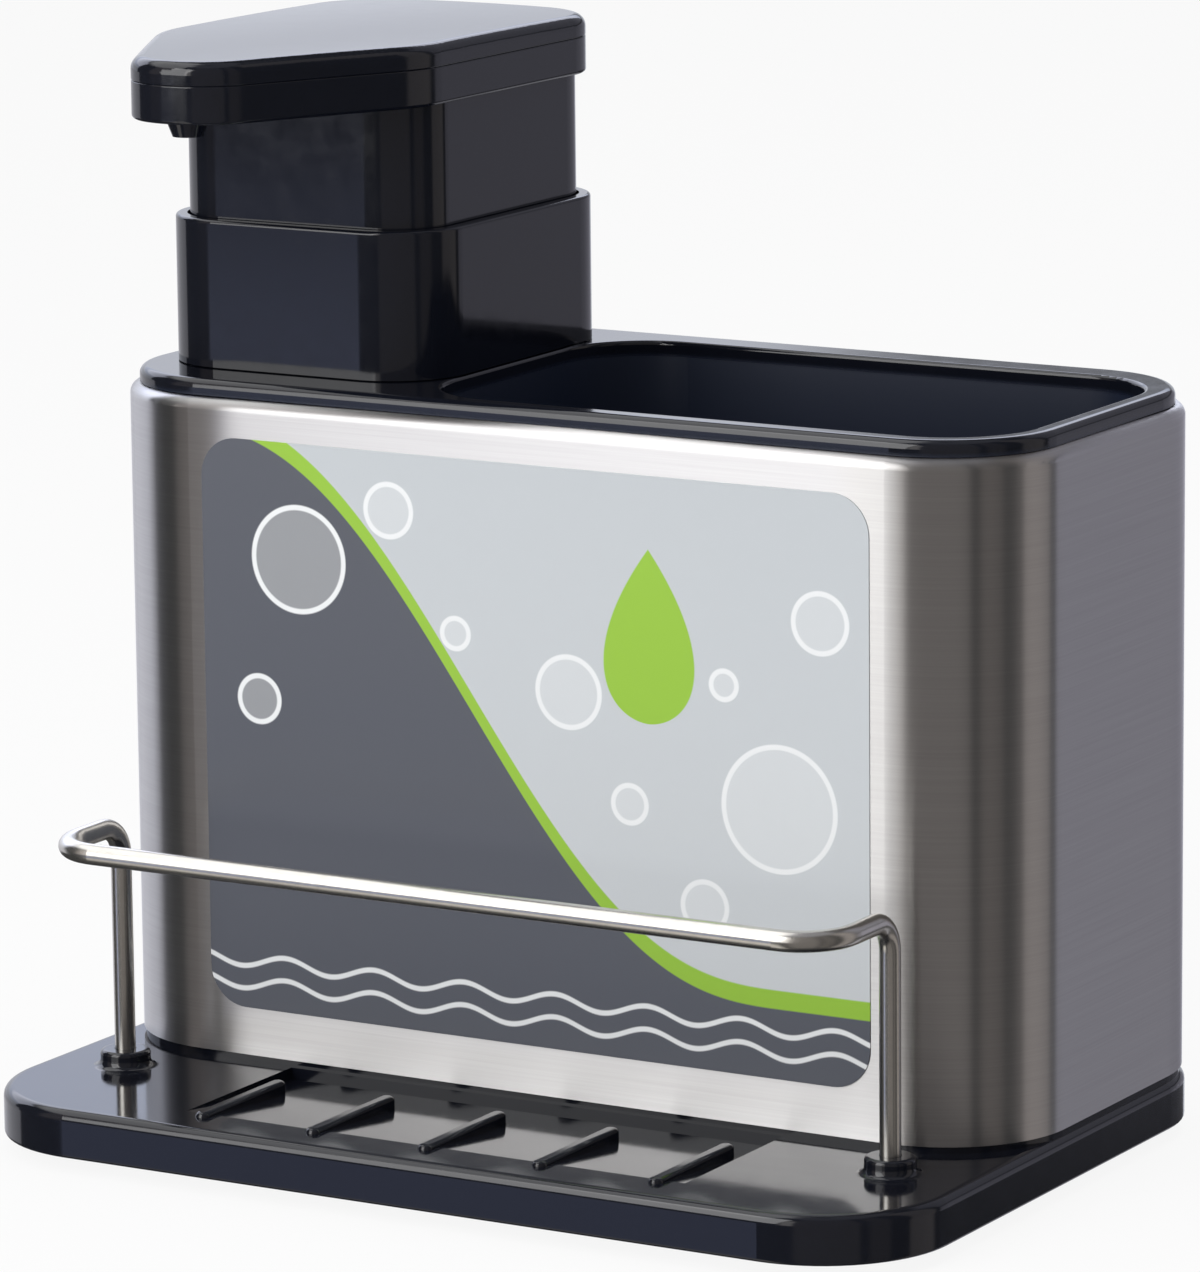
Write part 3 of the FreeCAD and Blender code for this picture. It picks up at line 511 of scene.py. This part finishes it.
class CADDY_OT_return_spring(bpy.types.Operator):
    """Wind the return spring and hang it on the pump"""
    bl_idname = "caddy.return_spring"
    bl_label = "Return spring"

    def execute(self, context):
        spring = context.scene.caddy_spring
        low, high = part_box("return_spring")
        radius = (high.x - low.x - spring.wire) / 2
        bpy.ops.object.select_all(action="DESELECT")
        bpy.ops.mesh.primitive_circle_add(vertices=COIL_SIDES, radius=spring.wire / 2,
                                          location=(radius, 0, 0), rotation=(math.pi / 2, 0, 0))
        coil = context.object
        coil.name = "return_coil"
        bpy.ops.object.transform_apply(location=True, rotation=True, scale=True)
        winding = coil.modifiers.new("winding", "SCREW")
        winding.axis = "Z"
        winding.iterations = spring.turns
        winding.screw_offset = (high.z - low.z - spring.wire) / spring.turns
        winding.steps = COIL_STEPS
        winding.render_steps = COIL_STEPS
        bpy.ops.object.modifier_apply(modifier="winding")
        bpy.ops.object.mode_set(mode="EDIT")
        bpy.ops.mesh.select_all(action="SELECT")
        bpy.ops.mesh.fill_holes(sides=0)
        bpy.ops.mesh.select_all(action="SELECT")
        bpy.ops.mesh.normals_make_consistent(inside=False)
        bpy.ops.object.mode_set(mode="OBJECT")
        middle = (low + high) / 2
        coil.location = (middle.x, middle.y, low.z + spring.wire / 2)
        bpy.ops.object.transform_apply(location=True, rotation=True, scale=True)
        bpy.ops.object.shade_smooth_by_angle(angle=COIL_SHARP)
        tone = context.scene.caddy_finish.plating
        coil.data.materials.append(polished_metal("zinc_plated_spring_wire", tone, *PLATING_ROUGHNESS))
        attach(coil, "pump")
        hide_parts("return_spring")
        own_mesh(coil)
        return {"FINISHED"}


class CADDY_OT_pump_works(bpy.types.Operator):
    """Finish the bottle, the pump's inner pieces, its seals and the foot pads"""
    bl_idname = "caddy.pump_works"
    bl_label = "Bottle, pump works and feet"

    def execute(self, context):
        finish = context.scene.caddy_finish
        for title, kind in POLYMERS.items():
            tone = getattr(finish, kind.tone)
            dress(kind.pieces, satin_polymer(title, tone, kind.rough, kind.grain, kind.glow))
        return {"FINISHED"}


# Soft cards round the dim room that shiny faces see. Angles in degrees: left and right edge from the
# front, positive to the right, low and high edge from the horizon, and the width of the soft edge
Card = namedtuple("Card", "left right low high soft tint bright")
CARDS = {
    "key side": Card(-56, -37, -5, 45, 6, "#fff0ea", 0.3),
    "key right": Card(-7.5, 2, -4, 40, 2.5, "#fffaf6", 1.4),
    "top bank": Card(-130, -30, 42, 78, 5, "#ffffff", 1.6),
    "front card": Card(-40, -27, -11.5, -8, 1, "#ccd6ff", 0.88),
    "low front card": Card(-40, -27, -24, -11.5, 1, "#c4d0ff", 0.6),
    "table": Card(-44, -20, -64, -25, 4, "#fffaf2", 0.9),
    "backdrop low": Card(-151.5, -88, -18, -2, 1, "#f6f6ff", 0.72),
    "backdrop": Card(-151.5, -94, -2, 9, 1, "#eff3ff", 1.0),
    "backdrop haze": Card(-151.5, -94, 9, 12, 1, "#eff3ff", 1.3),
    "backdrop right": Card(-170, -151.5, -18, 7.5, 1, "#eff3ff", 0.8),
    "backdrop right haze": Card(-170, -151.5, 7.5, 12, 1, "#eff3ff", 0.28),
    "backdrop top": Card(-170, -94, 12, 18, 1.2, "#e0e8ff", 1.5),
    "backdrop upper": Card(-170, -94, 18, 38, 1.5, "#eaeeff", 2.4),
    "right front wall": Card(3, 58, -60, 60, 3, "#fff4ee", 0.15),
    "right stand": Card(67, 84, -60, 60, 4, "#fff0e8", 0.11),
    "right card": Card(104, 131, -60, 60, 3, "#fff4f0", 0.31),
    "right wall": Card(138, 190, -14, 8, 2, "#eceaff", 0.4),
    "right wall top": Card(138, 190, 12, 50, 4, "#ecebff", 0.3),
    "rear table": Card(150, 205, -60, -24, 4, "#f4f4ff", 0.65),
    "ceiling": Card(-180, 180, 62, 90, 5, "#f4f4ff", 0.3),
}
ROOM_DIM = 0.06

# Softboxes: place, width and height in metres, power in watts, and whether shiny faces mirror them
Lamp = namedtuple("Lamp", "place wide tall power mirrored")
LAMPS = {
    "front_softbox": Lamp((-0.472, -1.189, 0.65), 0.775, 1.366, 11.4, True),
    "top_softbox": Lamp((0.1, 0.1, 1.5), 1.0, 1.0, 6.0, False),
}
LAMP_AIM = Vector((0, 0, 0.08))

# Floor: side in metres, roughness, and the share of plain white that the camera sees over its shadows
FLOOR_SIZE = 8.0
FLOOR_ROUGHNESS = 0.9
FLOOR_WHITE = 0.9

# Point that the camera aims at, and its sensor's long side in millimetres
CAMERA_AIM = Vector((-0.00704, 0.01532, 0.08427))
CAMERA_SENSOR = 36


class CADDY_OT_stage(bpy.types.Operator):
    """Set the pale floor, the soft studio light and the camera"""
    bl_idname = "caddy.stage"
    bl_label = "Stage"

    def execute(self, context):
        stage = context.scene.caddy_stage
        self.lay_floor(context, stage)
        self.light_room(context, stage)
        self.hang_lamps(context)
        self.place_camera(context, stage)
        context.scene.view_settings.view_transform = "Standard"
        return {"FINISHED"}

    def lay_floor(self, context, stage):
        bpy.ops.object.select_all(action="DESELECT")
        bpy.ops.mesh.primitive_plane_add(size=FLOOR_SIZE)
        floor = context.object
        floor.name = "floor"
        made, tree, shader = new_material("pale_floor")
        shader.inputs["Base Color"].default_value = rgba(stage.floor)
        shader.inputs["Roughness"].default_value = FLOOR_ROUGHNESS
        seen = node(tree, LIGHT_PATH).outputs["Is Camera Ray"]
        share = node(tree, MATH, {0: seen, 1: FLOOR_WHITE}, operation="MULTIPLY").outputs["Value"]
        white = node(tree, "ShaderNodeEmission", {"Color": WHITE, "Strength": 1.0}).outputs["Emission"]
        blend = node(tree, "ShaderNodeMixShader", {0: share, 1: shader.outputs["BSDF"], 2: white})
        tree.links.new(blend.outputs["Shader"], tree.nodes["Material Output"].inputs["Surface"])
        floor.data.materials.append(made)
        floor.visible_glossy = False

    def light_room(self, context, stage):
        """White to the camera and through clear pieces, even to matt faces, and a dim room with soft cards
        to shiny ones."""
        world = bpy.data.worlds.new("studio_room")
        context.scene.world = world
        world.use_nodes = True
        tree = world.node_tree
        tree.nodes.clear()
        heading = node(tree, COORDS).outputs["Generated"]
        level = node(tree, VECTOR_MATH, {0: heading, 1: (1, 1, 0)}, operation="MULTIPLY").outputs["Vector"]
        level = node(tree, VECTOR_MATH, {0: level}, operation="NORMALIZE").outputs["Vector"]
        height = node(tree, SPLIT, {"Vector": heading}).outputs["Z"]
        room = (ROOM_DIM, ROOM_DIM, ROOM_DIM)
        for card in CARDS.values():
            edges = []
            half = (card.right - card.left) / 2
            if half < 180:
                middle = math.radians((card.left + card.right) / 2)
                ahead = (math.sin(middle), -math.cos(middle), 0)
                facing = node(tree, VECTOR_MATH, {0: level, 1: ahead}, operation="DOT_PRODUCT")
                ends = [math.cos(math.radians(half + way * card.soft)) for way in (1, -1)]
                edges.append((facing.outputs["Value"], *ends))
            for edge, way in ((card.low, 1), (card.high, -1)):
                angles = [max(-90, min(90, edge + way * soft)) for soft in (-card.soft, card.soft)]
                edges.append((height, *(math.sin(math.radians(angle)) for angle in angles)))
            shine = card.bright
            for value, start, end in edges:
                ramp = node(tree, RAMP, {"Value": value, "From Min": start, "From Max": end},
                            interpolation_type="SMOOTHSTEP").outputs["Result"]
                shine = node(tree, MATH, {0: ramp, 1: shine}, operation="MULTIPLY").outputs["Value"]
            room = node(tree, VECTOR_MATH, {0: linear(card.tint), 1: shine, 2: room},
                        operation="MULTIPLY_ADD").outputs["Vector"]
        path = node(tree, LIGHT_PATH).outputs
        even = (stage.fill, stage.fill, stage.fill, 1)
        light = node(tree, MIX, {"Factor": path["Is Glossy Ray"], "A": even, "B": room},
                     data_type="RGBA").outputs["Result"]
        for ray in ("Is Camera Ray", "Is Transmission Ray"):
            light = node(tree, MIX, {"Factor": path[ray], "A": light, "B": WHITE},
                         data_type="RGBA").outputs["Result"]
        glow = node(tree, "ShaderNodeBackground", {"Color": light, "Strength": 1.0})
        node(tree, "ShaderNodeOutputWorld", {"Surface": glow.outputs["Background"]})

    def hang_lamps(self, context):
        for title, softbox in LAMPS.items():
            lamp = bpy.data.lights.new(title, "AREA")
            lamp.shape = "RECTANGLE"
            lamp.size = softbox.wide
            lamp.size_y = softbox.tall
            lamp.energy = softbox.power
            hung = bpy.data.objects.new(title, lamp)
            context.scene.collection.objects.link(hung)
            aim = LAMP_AIM - Vector(softbox.place)
            hung.rotation_mode = "QUATERNION"
            hung.rotation_quaternion = aim.to_track_quat("-Z", "Y")
            hung.location = softbox.place
            hung.visible_glossy = softbox.mirrored

    def place_camera(self, context, stage):
        turn, tip, roll = stage.azimuth, stage.elevation, stage.roll
        back = Vector((math.sin(turn) * math.cos(tip), -math.cos(turn) * math.cos(tip), math.sin(tip)))
        right = Vector((math.cos(turn), math.sin(turn), 0))
        up = back.cross(right)
        across = right * math.cos(roll) + up * math.sin(roll)
        rise = up * math.cos(roll) - right * math.sin(roll)
        lens = bpy.data.cameras.new("camera")
        lens.sensor_width = CAMERA_SENSOR
        lens.lens = stage.lens
        camera = bpy.data.objects.new("camera", lens)
        context.scene.collection.objects.link(camera)
        turned = Matrix((across, rise, back)).transposed().to_4x4()
        camera.matrix_world = Matrix.Translation(CAMERA_AIM + back * stage.distance) @ turned
        context.scene.camera = camera


STEPS = (CADDY_OT_plastic_body, CADDY_OT_steel_sleeve, CADDY_OT_front_label, CADDY_OT_metal_pieces,
         CADDY_OT_return_spring, CADDY_OT_pump_works, CADDY_OT_stage)
GROUPS = (("caddy_finish", CaddyFinish), ("caddy_print", CaddyPrint), ("caddy_spring", CaddySpring),
          ("caddy_stage", CaddyStage))


class CADDY_PT_panel(bpy.types.Panel):
    """Lists the caddy's steps and settings"""
    bl_label = "Soap Pump Caddy"
    bl_idname = "CADDY_PT_panel"
    bl_space_type = "VIEW_3D"
    bl_region_type = "UI"
    bl_category = "Caddy"

    def draw(self, context):
        for step in STEPS:
            self.layout.operator(step.bl_idname)
        for title, kind in GROUPS:
            box = self.layout.box()
            for name in kind.__annotations__:
                box.prop(getattr(context.scene, title), name)


def register():
    for name, group in GROUPS:
        bpy.utils.register_class(group)
        setattr(bpy.types.Scene, name, bpy.props.PointerProperty(type=group))
    for made in (*STEPS, CADDY_PT_panel):
        bpy.utils.register_class(made)


def unregister():
    for made in reversed((*STEPS, CADDY_PT_panel)):
        bpy.utils.unregister_class(made)
    for name, group in reversed(GROUPS):
        delattr(bpy.types.Scene, name)
        bpy.utils.unregister_class(group)


def main():
    register()
    for step in STEPS:
        area, action = step.bl_idname.split(".")
        getattr(getattr(bpy.ops, area), action)()


if __name__ == "__main__":
    main()
